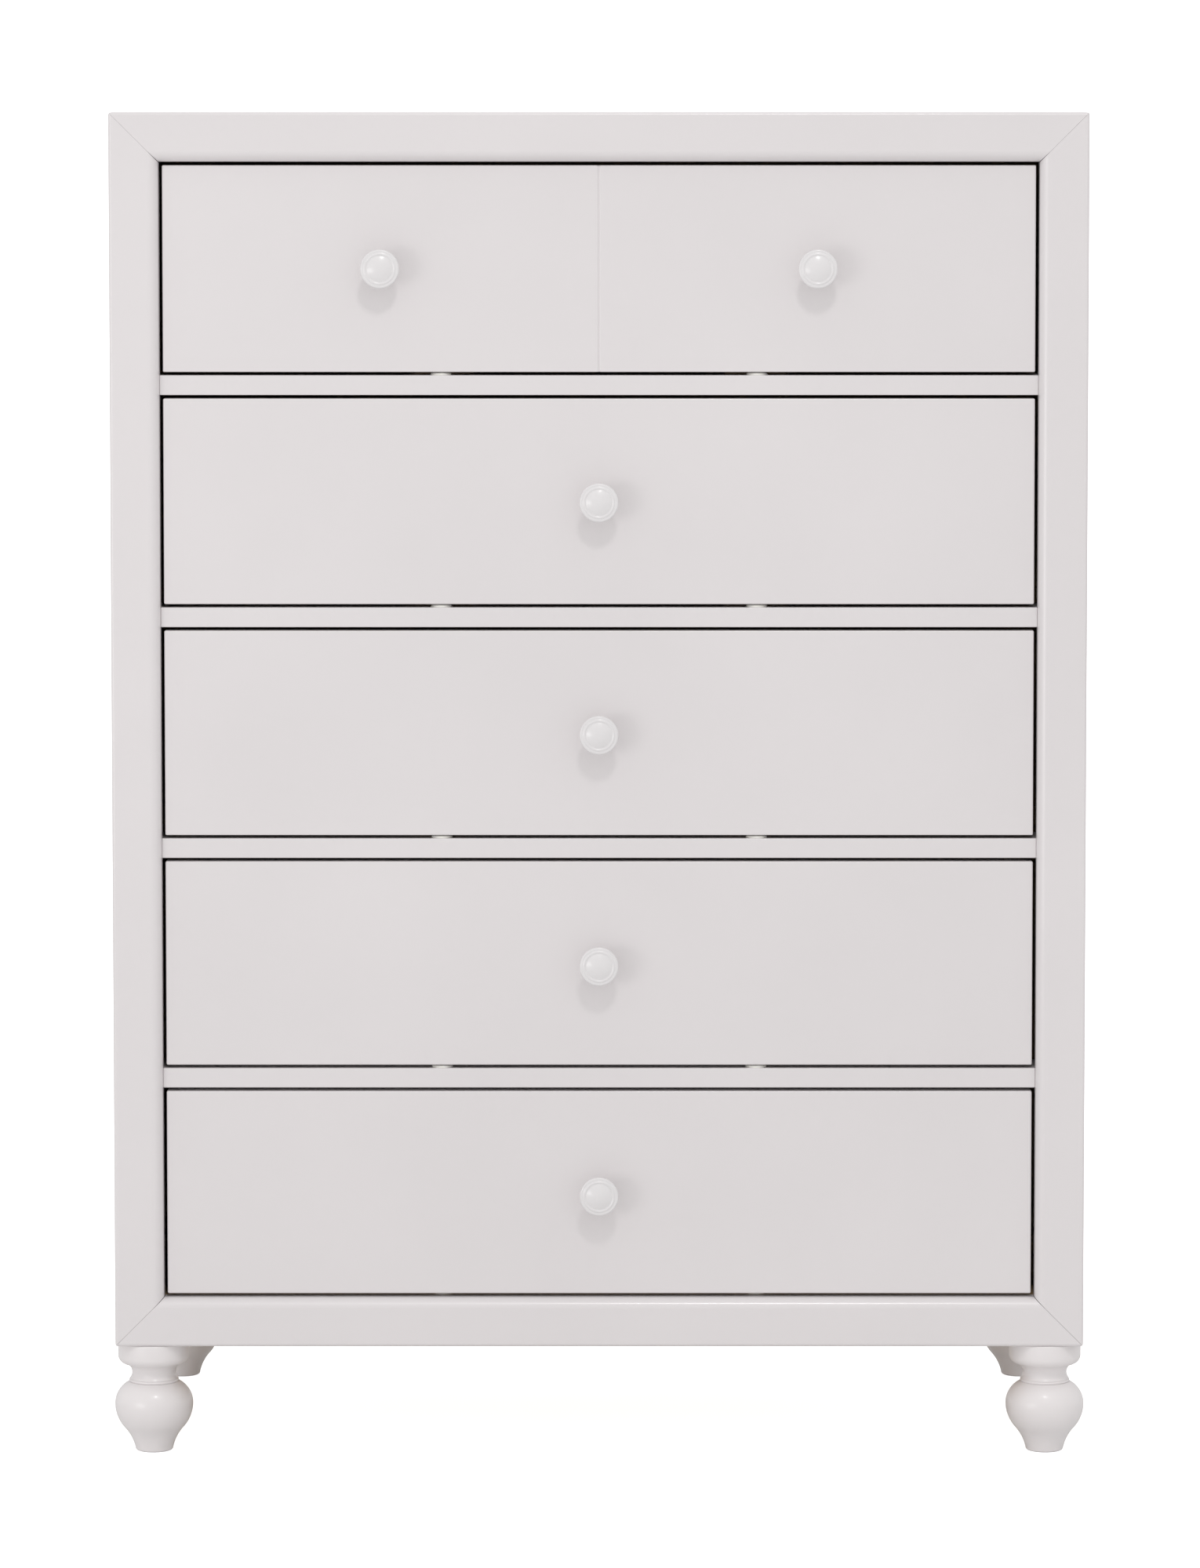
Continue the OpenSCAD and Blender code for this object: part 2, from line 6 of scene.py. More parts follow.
import bpy
import numpy as np
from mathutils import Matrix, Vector

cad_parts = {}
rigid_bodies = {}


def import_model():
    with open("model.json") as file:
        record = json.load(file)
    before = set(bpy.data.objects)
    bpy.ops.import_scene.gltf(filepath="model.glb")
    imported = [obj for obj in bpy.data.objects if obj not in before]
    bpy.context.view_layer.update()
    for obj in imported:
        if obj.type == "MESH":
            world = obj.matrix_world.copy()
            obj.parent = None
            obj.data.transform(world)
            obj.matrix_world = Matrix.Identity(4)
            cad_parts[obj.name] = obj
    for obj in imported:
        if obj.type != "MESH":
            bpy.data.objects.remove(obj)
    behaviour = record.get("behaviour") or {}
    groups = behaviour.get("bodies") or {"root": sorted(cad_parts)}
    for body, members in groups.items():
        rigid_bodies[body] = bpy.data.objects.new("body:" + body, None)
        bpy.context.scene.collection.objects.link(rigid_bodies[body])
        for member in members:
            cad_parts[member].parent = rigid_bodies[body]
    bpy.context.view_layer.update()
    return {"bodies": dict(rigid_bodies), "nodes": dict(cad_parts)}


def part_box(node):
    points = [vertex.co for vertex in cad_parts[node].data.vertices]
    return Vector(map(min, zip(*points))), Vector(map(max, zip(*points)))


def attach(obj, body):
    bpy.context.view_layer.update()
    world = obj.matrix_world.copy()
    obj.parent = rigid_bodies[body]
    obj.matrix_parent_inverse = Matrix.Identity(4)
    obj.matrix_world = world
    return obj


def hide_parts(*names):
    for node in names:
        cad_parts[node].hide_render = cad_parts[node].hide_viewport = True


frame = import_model()
MM = 0.001
DRAWERS = sorted(name for name in frame["bodies"] if name.startswith("drawer_"))

# --------------------------------------------------------------------------------------------
# The front frame: two stiles and two rails of painted hardwood, mitred at the corners and glued
# to the case. The outer arris is eased and the inner edge is worked to a quarter-round.

LACQUER_WHITE = (0.740, 0.708, 0.712, 1.0)
FRAME_ARRIS = 3 * MM
FRAME_BEAD = 10 * MM
FRAME_BACK_EASE = 0.5 * MM
MITRE_EASE = 0.6 * MM


def lacquer(name, tint=LACQUER_WHITE, gloss=0.30, peel=0.10):
    """White lacquer sprayed on wood: a slow drift of tone, a fine orange-peel surface, and
    faint long ripples left by sanding the boards."""
    material = bpy.data.materials.new(name)
    material.use_nodes = True
    tree = material.node_tree
    node, link = tree.nodes, tree.links
    paint = node["Principled BSDF"]
    place = node.new("ShaderNodeTexCoord")

    drift = node.new("ShaderNodeTexNoise")
    drift.inputs["Scale"].default_value = 3.5
    drift.inputs["Detail"].default_value = 3.0
    tone = node.new("ShaderNodeValToRGB")
    tone.color_ramp.elements[0].position = 0.30
    tone.color_ramp.elements[0].color = tuple(0.975 * c for c in tint[:3]) + (1.0,)
    tone.color_ramp.elements[1].position = 0.70
    tone.color_ramp.elements[1].color = tuple(min(1.015 * c, 1.0) for c in tint[:3]) + (1.0,)
    link.new(place.outputs["Object"], drift.inputs["Vector"])
    link.new(drift.outputs["Fac"], tone.inputs["Fac"])
    link.new(tone.outputs["Color"], paint.inputs["Base Color"])

    skin = node.new("ShaderNodeTexNoise")
    skin.inputs["Scale"].default_value = 420.0
    skin.inputs["Detail"].default_value = 2.0
    link.new(place.outputs["Object"], skin.inputs["Vector"])
    sheen = node.new("ShaderNodeMapRange")
    sheen.inputs["To Min"].default_value = gloss - 0.04
    sheen.inputs["To Max"].default_value = gloss + 0.05
    link.new(drift.outputs["Fac"], sheen.inputs["Value"])
    link.new(sheen.outputs["Result"], paint.inputs["Roughness"])

    peel_bump = node.new("ShaderNodeBump")
    peel_bump.inputs["Strength"].default_value = peel
    peel_bump.inputs["Distance"].default_value = 0.05 * MM
    link.new(skin.outputs["Fac"], peel_bump.inputs["Height"])
    ripple = node.new("ShaderNodeTexNoise")
    ripple.inputs["Scale"].default_value = 14.0
    ripple.inputs["Detail"].default_value = 2.0
    link.new(place.outputs["Object"], ripple.inputs["Vector"])
    board_bump = node.new("ShaderNodeBump")
    board_bump.inputs["Strength"].default_value = 0.12
    board_bump.inputs["Distance"].default_value = 0.35 * MM
    link.new(ripple.outputs["Fac"], board_bump.inputs["Height"])
    link.new(peel_bump.outputs["Normal"], board_bump.inputs["Normal"])
    link.new(board_bump.outputs["Normal"], paint.inputs["Normal"])
    paint.inputs["Coat Weight"].default_value = 0.25
    paint.inputs["Coat Roughness"].default_value = 0.12
    return material


def piece(name, points, faces, material, body, nodes, normals=None, sharp=None):
    """Makes a mesh piece, ties it to its body and its finish, and hides the solids it stands for."""
    mesh = bpy.data.meshes.new(name)
    mesh.from_pydata(np.asarray(points).tolist(), [], [list(map(int, f)) for f in faces])
    mesh.update()
    mesh.shade_smooth()
    if normals is not None:
        mesh.normals_split_custom_set_from_vertices(np.asarray(normals).tolist())
    if sharp is not None:
        mesh.set_sharp_from_angle(angle=np.radians(sharp))
    mesh.materials.append(material)
    thing = bpy.data.objects.new(name, mesh)
    bpy.context.scene.collection.objects.link(thing)
    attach(thing, body)
    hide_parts(*nodes)


def tube_faces(rings, around, first=0):
    """Quads of a grid of rings that closes round itself, and one face over each end."""
    ring, spoke = np.meshgrid(np.arange(rings - 1), np.arange(around), indexing="ij")
    a = first + ring * around + spoke
    b = first + ring * around + (spoke + 1) % around
    quads = np.stack([a, b, b + around, a + around], axis=-1).reshape(-1, 4)
    last = first + (rings - 1) * around
    caps = [np.arange(first, first + around)[::-1], np.arange(last, last + around)]
    return [*quads, *caps]


def outline(corners, radii, steps=5):
    """A closed outline, counter-clockwise, with every corner an arc of its own radius.
    Along an arc the normal turns evenly; an arc's centre is its corner moved in along the
    bisector. Returns the points and their outward normals."""
    corners = np.asarray(corners, float)
    before = np.roll(corners, 1, axis=0)
    after = np.roll(corners, -1, axis=0)
    into = (corners - before) / np.linalg.norm(corners - before, axis=1)[:, None]
    out = (after - corners) / np.linalg.norm(after - corners, axis=1)[:, None]
    n_in = np.stack([into[:, 1], -into[:, 0]], axis=1)
    n_out = np.stack([out[:, 1], -out[:, 0]], axis=1)
    turn = np.arctan2(into[:, 0] * out[:, 1] - into[:, 1] * out[:, 0], (into * out).sum(1))
    start = np.arctan2(n_in[:, 1], n_in[:, 0])
    share = np.linspace(0, 1, steps + 1)
    angle = start[:, None] + turn[:, None] * share[None, :]
    normals = np.stack([np.cos(angle), np.sin(angle)], axis=-1)
    side = np.sign(turn)
    radius = np.broadcast_to(np.asarray(radii, float), turn.shape) * side
    middle = corners - (n_in + n_out) / (1 + (n_in * n_out).sum(1))[:, None] * radius[:, None]
    points = middle[:, None, :] + normals * radius[:, None, None]
    return points.reshape(-1, 2), normals.reshape(-1, 2)


def carried(points, normals, low, high, arris, axis="z", steps=4):
    """An outline carried from low to high along an axis. Over the last stretch, as long as the
    arris, it draws in by arris * (1 - sin t) while it rises by arris * (1 - cos t)."""
    t = np.linspace(0, np.pi / 2, steps + 1)
    inset = arris * (1 - np.sin(t))
    rise = arris * (1 - np.cos(t))
    inset = np.concatenate([inset, inset[::-1]])
    height = np.concatenate([low + rise, high - rise[::-1]])
    across = np.concatenate([np.sin(t), np.sin(t)[::-1]])
    along = np.concatenate([-np.cos(t), np.cos(t)[::-1]])
    flat = points[None] - normals[None] * inset[:, None, None]
    column = flat.shape[:2] + (1,)
    mesh_points = np.concatenate([flat, np.broadcast_to(height[:, None, None], column)], -1)
    tilt = np.concatenate([normals[None] * across[:, None, None],
                           np.broadcast_to(along[:, None, None], column)], -1)
    order = {"z": [0, 1, 2], "x": [2, 0, 1], "y": [1, 2, 0]}[axis]
    faces = tube_faces(len(height), len(points))
    return mesh_points.reshape(-1, 3)[:, order], faces, tilt.reshape(-1, 3)[:, order]


def board(low, high, arris, axis="z", corner=None):
    """A plain board between two corners, with all its edges eased. Its outline lies across
    the axis, with corners just rounder than the arris unless a corner radius is given."""
    plane = {"z": (0, 1), "x": (1, 2), "y": (2, 0)}[axis]
    u, v = plane
    w = "xyz".index(axis)
    corners = [(low[u], low[v]), (high[u], low[v]), (high[u], high[v]), (low[u], high[v])]
    radii = np.maximum(arris * 1.04, arris if corner is None else np.asarray(corner))
    points, normals = outline(corners, radii)
    return carried(points, normals, low[w], high[w], arris, axis)


def frame_member(length, width, thickness):
    """A mitred member along X: its section is carried from one 45-degree cut to the other, so
    a point at width v starts at x = v and ends at x = length - v. Close to each cut the face
    drops away by a small quarter-round, which leaves the hairline of the mitre."""
    corners = [(0, 0), (thickness, 0), (thickness, width), (0, width)]
    radii = [FRAME_ARRIS, FRAME_BACK_EASE, FRAME_BACK_EASE, FRAME_BEAD]
    section, facing = outline(corners, radii, steps=12)
    ease = np.radians([0, 22, 45, 68, 90])
    near = MITRE_EASE * (1 - np.cos(ease))
    drop = MITRE_EASE * (1 - np.sin(ease))
    level = np.array([1.0, 2.0, 4.0, 8.0]) * MM  # rings past the ease hold the face flat
    near = np.concatenate([near, level])
    drop = np.concatenate([drop, np.zeros(len(level))])
    lean = np.concatenate([np.cos(ease), np.zeros(len(level))])
    v = section[:, 1]
    start = v[None] + near[:, None]
    finish = (length - v)[None] - near[::-1, None]
    x = np.concatenate([start, finish])
    drop = np.concatenate([drop, drop[::-1]])
    lean = np.concatenate([-lean, lean[::-1]])
    flat = section[None] - facing[None] * drop[:, None, None]
    points = np.concatenate([x[..., None], flat], -1)
    upright = np.sqrt(1 - lean ** 2)
    normals = np.concatenate([
        np.broadcast_to(lean[:, None, None], x.shape + (1,)),
        facing[None] * upright[:, None, None]], -1)
    return points.reshape(-1, 3), tube_faces(len(x), len(section)), normals.reshape(-1, 3)


def round_outer_corners(points, half_width, low, high, radius):
    """Draws the frame's outline in to a circle of the given radius at its four corners."""
    x_over = np.maximum(np.abs(points[:, 0]) - (half_width - radius), 0)
    z_low = np.maximum((low + radius) - points[:, 2], 0)
    z_high = np.maximum(points[:, 2] - (high - radius), 0)
    z_over = np.maximum(z_low, z_high)
    far = np.hypot(x_over, z_over)
    keep = np.where((far > radius) & (x_over > 0) & (z_over > 0), radius / np.maximum(far, 1e-9), 1.0)
    moved = points.copy()
    moved[:, 0] = np.sign(points[:, 0]) * (half_width - radius + x_over * keep) * (x_over > 0) \
        + points[:, 0] * (x_over == 0)
    moved[:, 2] = np.where(z_low > 0, low + radius - z_low * keep,
                           np.where(z_high > 0, high - radius + z_high * keep, points[:, 2]))
    return moved


frame_low = np.array(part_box("bottom_frame_rail")[0])
frame_top = np.array(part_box("top_frame_rail")[1])
case_half = frame_top[0]
frame_y = frame_low[1]
frame_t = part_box("left_stile")[1][1] - frame_y
frame_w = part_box("left_stile")[1][0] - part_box("left_stile")[0][0]
frame_h = frame_top[2] - frame_low[2]
frame_lacquer = lacquer("frame_lacquer")

FRAME_MEMBERS = (("bottom_frame_rail", False, False), ("top_frame_rail", False, True),
                 ("left_stile", True, False), ("right_stile", True, True))
for name, upright, far_side in FRAME_MEMBERS:
    span = frame_h if upright else 2 * case_half
    points, faces, normals = frame_member(span, frame_w, frame_t)
    along, across, depth = points[:, 0], points[:, 2], points[:, 1]
    n_along, n_across, n_depth = normals[:, 0], normals[:, 2], normals[:, 1]
    if upright:
        x = case_half - across if far_side else across - case_half
        z = frame_low[2] + along
        placed = np.stack([x, frame_y + depth, z], -1)
        placed_normals = np.stack([-n_across if far_side else n_across, n_depth, n_along], -1)
    else:
        z = frame_top[2] - across if far_side else frame_low[2] + across
        placed = np.stack([along - case_half, frame_y + depth, z], -1)
        placed_normals = np.stack([n_along, n_depth, -n_across if far_side else n_across], -1)
    if upright != far_side:
        faces = [f[::-1] for f in faces]
    placed = round_outer_corners(placed, case_half, frame_low[2], frame_top[2], FRAME_ARRIS)
    piece(f"{name}_painted", placed, faces, frame_lacquer, "carcass", [name],
          placed_normals)

# --------------------------------------------------------------------------------------------
# The case behind the frame: side panels and top of painted board, a bare bottom panel, and a
# thin birch plywood back let into rebates. Joints show as hairlines between eased edges.

panel_lacquer = lacquer("panel_lacquer", gloss=0.34)
for name in ("left_side_panel", "right_side_panel"):
    low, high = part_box(name)
    points, faces, normals = board(low, high, 0.5 * MM, "z", 2 * MM)
    piece(f"{name}_painted", points, faces, panel_lacquer, "carcass", [name], normals)
low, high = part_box("top_panel")
points, faces, normals = board(low, high, 1.6 * MM, "y", 2 * MM)
piece("top_panel_painted", points, faces, panel_lacquer, "carcass",
      ["top_panel"], normals)


def timber(name, light, dark, grain, scale=1.0, gloss=0.5, figure=0.5):
    """Planed pale wood: growth bands and fine fibres, both drawn out along the grain axis."""
    material = bpy.data.materials.new(name)
    material.use_nodes = True
    tree = material.node_tree
    node, link = tree.nodes, tree.links
    wood = node["Principled BSDF"]
    place = node.new("ShaderNodeTexCoord")
    stretch = node.new("ShaderNodeMapping")
    stretch.inputs["Scale"].default_value = [0.06 if axis == grain else 1.0 for axis in "xyz"]
    link.new(place.outputs["Object"], stretch.inputs["Vector"])

    bands = node.new("ShaderNodeTexNoise")
    bands.inputs["Scale"].default_value = 26.0 * scale
    bands.inputs["Detail"].default_value = 5.0
    bands.inputs["Distortion"].default_value = 0.6
    link.new(stretch.outputs["Vector"], bands.inputs["Vector"])
    fibres = node.new("ShaderNodeTexNoise")
    fibres.inputs["Scale"].default_value = 420.0 * scale
    fibres.inputs["Detail"].default_value = 3.0
    link.new(stretch.outputs["Vector"], fibres.inputs["Vector"])
    mixed = node.new("ShaderNodeMix")
    mixed.inputs["Factor"].default_value = 1 - figure
    link.new(bands.outputs["Fac"], mixed.inputs["A"])
    link.new(fibres.outputs["Fac"], mixed.inputs["B"])
    colour = node.new("ShaderNodeValToRGB")
    colour.color_ramp.elements[0].position = 0.34
    colour.color_ramp.elements[0].color = (*dark, 1.0)
    colour.color_ramp.elements[1].position = 0.64
    colour.color_ramp.elements[1].color = (*light, 1.0)
    link.new(mixed.outputs["Result"], colour.inputs["Fac"])
    link.new(colour.outputs["Color"], wood.inputs["Base Color"])
    rough = node.new("ShaderNodeMapRange")
    rough.inputs["To Min"].default_value = gloss + 0.08
    rough.inputs["To Max"].default_value = gloss - 0.06
    link.new(fibres.outputs["Fac"], rough.inputs["Value"])
    link.new(rough.outputs["Result"], wood.inputs["Roughness"])
    relief = node.new("ShaderNodeBump")
    relief.inputs["Strength"].default_value = 0.35
    relief.inputs["Distance"].default_value = 0.12 * MM
    link.new(fibres.outputs["Fac"], relief.inputs["Height"])
    link.new(relief.outputs["Normal"], wood.inputs["Normal"])
    return material


BIRCH_LIGHT, BIRCH_DARK = (0.68, 0.50, 0.31), (0.53, 0.36, 0.20)
PLY_LIGHT, PLY_DARK = (0.66, 0.49, 0.30), (0.55, 0.38, 0.21)
ply_upright = timber("birch_plywood_upright", PLY_LIGHT, PLY_DARK, "z", scale=0.7, gloss=0.55, figure=0.6)
ply_flat = timber("birch_plywood_flat", PLY_LIGHT, PLY_DARK, "x", scale=0.7, figure=0.6)
birch_x = timber("birch_across", BIRCH_LIGHT, BIRCH_DARK, "x")
birch_y = timber("birch_front_to_back", BIRCH_LIGHT, BIRCH_DARK, "y")
low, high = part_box("back_panel")
points, faces, normals = board(low, high, 0.3 * MM, "y", 1 * MM)
piece("back_panel_ply", points, faces, ply_upright, "carcass", ["back_panel"], normals)
low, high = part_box("bottom_panel")
points, faces, normals = board(low, high, 0.4 * MM, "z", 1 * MM)
piece("bottom_panel_board", points, faces, birch_x, "carcass",
      ["bottom_panel"], normals)

# --------------------------------------------------------------------------------------------
# Rails and tracks. Painted rails part the drawers: each is narrow between the stiles and wide
# behind them, where it is housed in the sides. Grooved birch tracks run back from them.

BAR_LIFT = 3 * MM
RAIL_CORNER = 0.9 * MM
RAIL_ARRIS = 0.8 * MM
rail_lacquer = lacquer("rail_lacquer")
stile_half = case_half - frame_w
rail_low, rail_high = (np.array(c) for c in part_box("divider_rails"))
lowest_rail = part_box("bottom_drawer_rail")
rail_h = lowest_rail[1][2] - lowest_rail[0][2]
shelves = {body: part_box(f"{body}_runner_bars")[0][2] - BAR_LIFT for body in DRAWERS}
panel_y = frame_y + frame_t
rail_corners = [(-stile_half, rail_low[1]), (stile_half, rail_low[1]), (stile_half, panel_y),
                (rail_high[0], panel_y), (rail_high[0], rail_high[1]), (rail_low[0], rail_high[1]),
                (rail_low[0], panel_y), (-stile_half, panel_y)]
rails = []
for body in DRAWERS[:-1]:
    points, normals = outline(rail_corners, RAIL_CORNER, steps=3)
    rails.append(carried(points, normals, shelves[body] - rail_h, shelves[body], RAIL_ARRIS))


def joined(parts):
    """Several closed shells as one: points and normals end to end, face numbers moved up."""
    points = np.concatenate([p for p, _, _ in parts])
    starts = np.cumsum([0] + [len(p) for p, _, _ in parts[:-1]])
    faces = [np.asarray(f) + start for (_, fs, _), start in zip(parts, starts) for f in fs]
    return points, faces, np.concatenate([n for _, _, n in parts])


points, faces, normals = joined(rails)
piece("divider_rails_painted", points, faces, rail_lacquer, "carcass",
      ["divider_rails"], normals)
# The tracks keep their own wood grain. Their dark brown, far below the birch, is painted shade that keeps
# the drawer gaps black where the tracks show through them.
track_wood_painted_shade = timber("track_wood_darkened_for_gap_shade", (0.36, 0.25, 0.15), (0.26, 0.17, 0.10), "y")


def refinish(name, material):
    """Gives a solid that is shown as it is its own finish."""
    finishes = frame["nodes"][name].data.materials
    finishes.clear()
    finishes.append(material)


refinish("bottom_drawer_rail", birch_x)
refinish("rear_rails", birch_x)
refinish("drawer_tracks", track_wood_painted_shade)

# --------------------------------------------------------------------------------------------
# Nylon glides: low white domes tacked into the rails, two under each drawer, in line with the
# tracks. The drawer's bars slide over them.

GLIDE_RADIUS = 10 * MM
GLIDE_HEIGHT = 2.7 * MM
GLIDE_ROUND = 1.8 * MM
GLIDE_CROWN = 60 * MM
GLIDE_FOOT = 0.2 * MM
GLIDE_LIFT = 0.35 * MM


def nylon(name):
    """Moulded nylon, milky and slightly waxy, with a very fine cloudy surface."""
    material = bpy.data.materials.new(name)
    material.use_nodes = True
    tree = material.node_tree
    node, link = tree.nodes, tree.links
    skin = node["Principled BSDF"]
    place = node.new("ShaderNodeTexCoord")
    cloud = node.new("ShaderNodeTexNoise")
    cloud.inputs["Scale"].default_value = 160.0
    colour = node.new("ShaderNodeValToRGB")
    colour.color_ramp.elements[0].color = (0.78, 0.77, 0.72, 1.0)
    colour.color_ramp.elements[1].color = (0.86, 0.85, 0.81, 1.0)
    link.new(place.outputs["Object"], cloud.inputs["Vector"])
    link.new(cloud.outputs["Fac"], colour.inputs["Fac"])
    link.new(colour.outputs["Color"], skin.inputs["Base Color"])
    bump = node.new("ShaderNodeBump")
    bump.inputs["Strength"].default_value = 0.15
    bump.inputs["Distance"].default_value = 0.05 * MM
    link.new(cloud.outputs["Fac"], bump.inputs["Height"])
    link.new(bump.outputs["Normal"], skin.inputs["Normal"])
    skin.inputs["Roughness"].default_value = 0.38
    skin.inputs["Subsurface Weight"].default_value = 0.15
    skin.inputs["Subsurface Radius"].default_value = (0.004, 0.004, 0.003)
    return material


def arc(centre, radius, start, end, steps):
    """Points round a centre from one angle to another, in degrees."""
    a = np.radians(np.linspace(start, end, steps + 1))
    return np.stack([centre[0] + radius * np.cos(a), centre[1] + radius * np.sin(a)], -1)


def turned(profile, centre, axis="z", around=96):
    """A turning: each profile point (r, h) is swept round the axis as (r cos a, r sin a, h).
    Both ends of the profile lie on the axis and close in a fan."""
    profile = np.asarray(profile)
    inner = profile[1:-1]
    a = np.linspace(0, 2 * np.pi, around, endpoint=False)
    r, h = inner[:, 0][:, None], inner[:, 1][:, None]
    rings = np.stack([r * np.cos(a), r * np.sin(a), np.broadcast_to(h, (len(inner), around))], -1)
    points = np.concatenate([rings.reshape(-1, 3), [[0, 0, profile[0, 1]], [0, 0, profile[-1, 1]]]])
    quads = tube_faces(len(inner), around)[:-2]
    spoke = np.arange(around)
    low_tip, high_tip = len(points) - 2, len(points) - 1
    last = (len(inner) - 1) * around
    under = np.stack([(spoke + 1) % around, spoke, np.full(around, low_tip)], -1)
    over = np.stack([last + spoke, last + (spoke + 1) % around, np.full(around, high_tip)], -1)
    if axis == "-y":
        points = points[:, [0, 2, 1]] * [1, -1, 1]
    return points + np.asarray(centre), [*quads, *under, *over]


glide_low, glide_high = (np.array(c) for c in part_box("rail_glides"))
glide_x = glide_high[0] - GLIDE_RADIUS
glide_y = {body: glide_low[1] + GLIDE_RADIUS for body in DRAWERS}
glide_y[DRAWERS[-1]] = glide_high[1] - GLIDE_RADIUS
glide_profile = np.concatenate([
    [[0, 0], [GLIDE_RADIUS - GLIDE_FOOT, 0]],
    arc([GLIDE_RADIUS - GLIDE_ROUND, GLIDE_LIFT], GLIDE_ROUND, 0, 82, 8),
    arc([0, GLIDE_HEIGHT - GLIDE_CROWN], GLIDE_CROWN, 82.1, 90, 8)])
glides = []
for body in DRAWERS:
    for x in (-glide_x, glide_x):
        points, faces = turned(glide_profile, (x, glide_y[body], shelves[body]), around=40)
        glides.append((points, faces, points))  # a turning has no normals; these go unused
points, faces, _ = joined(glides)
piece("glides_nylon", points, faces, nylon("glide_nylon"), "carcass",
      ["rail_glides"], sharp=50)

# --------------------------------------------------------------------------------------------
# Feet: four turnings in painted hardwood, each a flat cap, a hollow neck, a ring, a bun and a
# hollow ankle down to a small toe. A bolt through the case's bottom holds each one.

FOOT = dict(bun_r=37 * MM, bun_drop=60 * MM, low_r=34 * MM, high_r=23 * MM,
            ankle_r=44 * MM, ankle_out=57.8 * MM, toe_round=2.5 * MM,
            ring_r=23.5 * MM, ring_h=3 * MM, ring_round=1.4 * MM, ring_sink=2 * MM,
            neck_r=9 * MM, neck_out=6.3 * MM, neck_sink=3 * MM,
            cap_r=34 * MM, cap_round=8 * MM, cap_ease=1.5 * MM, cap_sink=0.5 * MM)


def foot_profile(height):
    """Half of the foot's outline from the floor up, as arcs that meet where their centres'
    distance is the sum of the two radii."""
    f = FOOT
    toe_round, ring_round, cap_round = f["toe_round"], f["ring_round"], f["cap_round"]
    cap_ease = f["cap_ease"]
    bun_z = height - f["bun_drop"]
    bun = np.array([f["bun_r"] - f["low_r"], bun_z])
    reach = f["low_r"] + f["ankle_r"]
    ankle_x = bun[0] + f["ankle_out"]
    ankle = np.array([ankle_x, bun_z - np.sqrt(reach ** 2 - (ankle_x - bun[0]) ** 2)])
    toe_r = ankle_x - np.sqrt(f["ankle_r"] ** 2 - (toe_round - ankle[1]) ** 2)
    ring_z = bun_z + f["high_r"] - f["ring_sink"]
    neck_z = ring_z + f["ring_h"] + f["neck_r"] - f["neck_sink"]
    neck = np.array([f["ring_r"] + f["neck_out"], neck_z])
    cap_in = f["cap_r"] - cap_round
    cap_z = neck[1] + f["neck_r"] - f["cap_sink"]

    def bearing(p, q):
        return np.degrees(np.arctan2(q[1] - p[1], q[0] - p[0]))

    up_end = np.degrees(np.arcsin(1 - f["ring_sink"] / f["high_r"]))
    neck_start = 180 + np.degrees(np.arcsin(1 - f["neck_sink"] / f["neck_r"]))
    neck_end = np.degrees(np.arccos((cap_in - neck[0]) / f["neck_r"]))
    return np.concatenate([
        [[0, 0]],
        arc([toe_r - toe_round, toe_round], toe_round, -90, 0, 6),
        arc(ankle, f["ankle_r"], bearing(ankle, [toe_r, toe_round]) - 1, bearing(ankle, bun), 14),
        arc(bun, f["low_r"], bearing(bun, ankle) + 1, 0, 20),
        arc([f["bun_r"] - f["high_r"], bun_z], f["high_r"], 3, up_end, 20),
        arc([f["ring_r"] - ring_round, ring_z + ring_round], ring_round, -70, 0, 5),
        arc([f["ring_r"] - ring_round, ring_z + f["ring_h"] - ring_round], ring_round, 0, 80, 5),
        arc(neck, f["neck_r"], neck_start, neck_end, 20),
        arc([cap_in, cap_z + cap_round], cap_round, -90, 0, 8),
        arc([f["cap_r"] - cap_ease, height - cap_ease], cap_ease, 0, 90, 5),
        [[0, height]]])


# The feet's white is a lighter copy of the case's lacquer. The extra lightness is painted light that
# makes up for the dimmer light the feet get low under the case.
foot_lacquer_with_painted_light = lacquer("foot_lacquer_with_painted_light", (0.81, 0.775, 0.775, 1.0), gloss=0.34, peel=0.05)
for name in ("front_left_foot", "front_right_foot", "rear_left_foot", "rear_right_foot"):
    low, high = (np.array(c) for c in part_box(name))
    middle = (low + high) / 2
    points, faces = turned(foot_profile(high[2]), (middle[0], middle[1], 0), around=128)
    piece(f"{name}_turned", points, faces, foot_lacquer_with_painted_light, "carcass", [name], sharp=40)


def zinc(name):
    """Zinc-plated steel: bright, faintly blue, with cloudy patches in its dullness."""
    material = bpy.data.materials.new(name)
    material.use_nodes = True
    tree = material.node_tree
    node, link = tree.nodes, tree.links
    metal = node["Principled BSDF"]
    place = node.new("ShaderNodeTexCoord")
    cloud = node.new("ShaderNodeTexNoise")
    cloud.inputs["Scale"].default_value = 300.0
    colour = node.new("ShaderNodeValToRGB")
    colour.color_ramp.elements[0].color = (0.50, 0.52, 0.55, 1.0)
    colour.color_ramp.elements[1].color = (0.66, 0.67, 0.69, 1.0)
    link.new(place.outputs["Object"], cloud.inputs["Vector"])
    link.new(cloud.outputs["Fac"], colour.inputs["Fac"])
    link.new(colour.outputs["Color"], metal.inputs["Base Color"])
    rough = node.new("ShaderNodeMapRange")
    rough.inputs["To Min"].default_value = 0.28
    rough.inputs["To Max"].default_value = 0.45
    link.new(cloud.outputs["Fac"], rough.inputs["Value"])
    link.new(rough.outputs["Result"], metal.inputs["Roughness"])
    metal.inputs["Metallic"].default_value = 1.0
    return material


zinc_plate = zinc("zinc_plate")
for name in ["foot_bolts", "case_screws", *(f"{body}_screws" for body in DRAWERS)]:
    refinish(name, zinc_plate)

